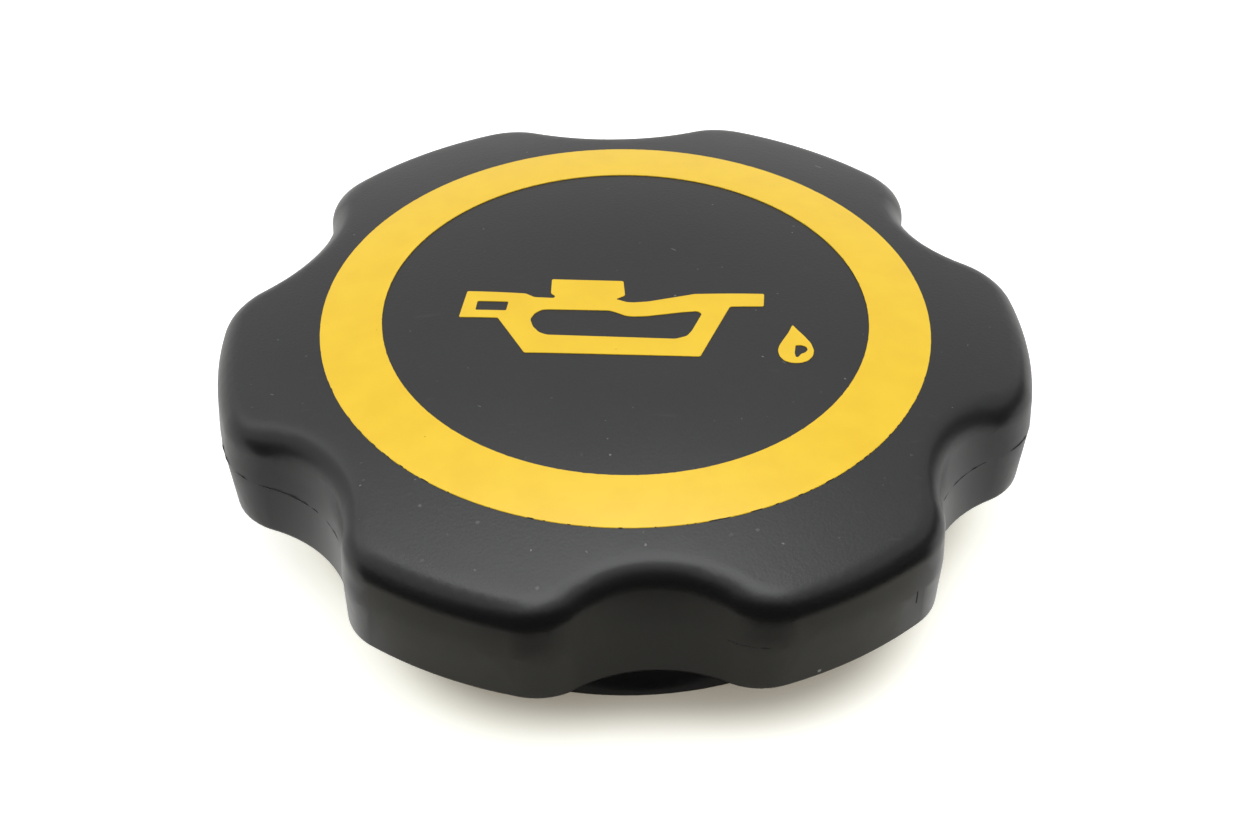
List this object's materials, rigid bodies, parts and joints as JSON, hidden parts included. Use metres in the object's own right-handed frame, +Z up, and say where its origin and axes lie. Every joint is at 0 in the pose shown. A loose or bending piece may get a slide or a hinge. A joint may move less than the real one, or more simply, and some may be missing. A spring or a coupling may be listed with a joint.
{
  "type": "oil filler cap",
  "caption": "Black moulded screw cap for an engine's oil filler neck: crowned knob with scalloped grip lobes, a round collar with a rubber washer inside, and a yellow printed ring.",
  "frame": {"origin": "on the cap's axis, in the plane that the collar stands on", "axes": "+Z up along the cap's axis, out of the crown; +X through the crest of a lobe; -Y through the finger scallop that faces the front"},
  "size_m": [0.0744, 0.0712, 0.022],
  "materials": {
    "cap_plastic": "black glass-filled nylon, fine grain, satin sides",
    "washer_rubber": "black oil-proof rubber, matt",
    "marking_ink": "yellow marking ink, satin"
  },
  "bodies": {
    "root": {"cap_body": "cap_plastic", "sealing_washer": "washer_rubber", "ring_print": "marking_ink"}
  },
  "joints": []
}
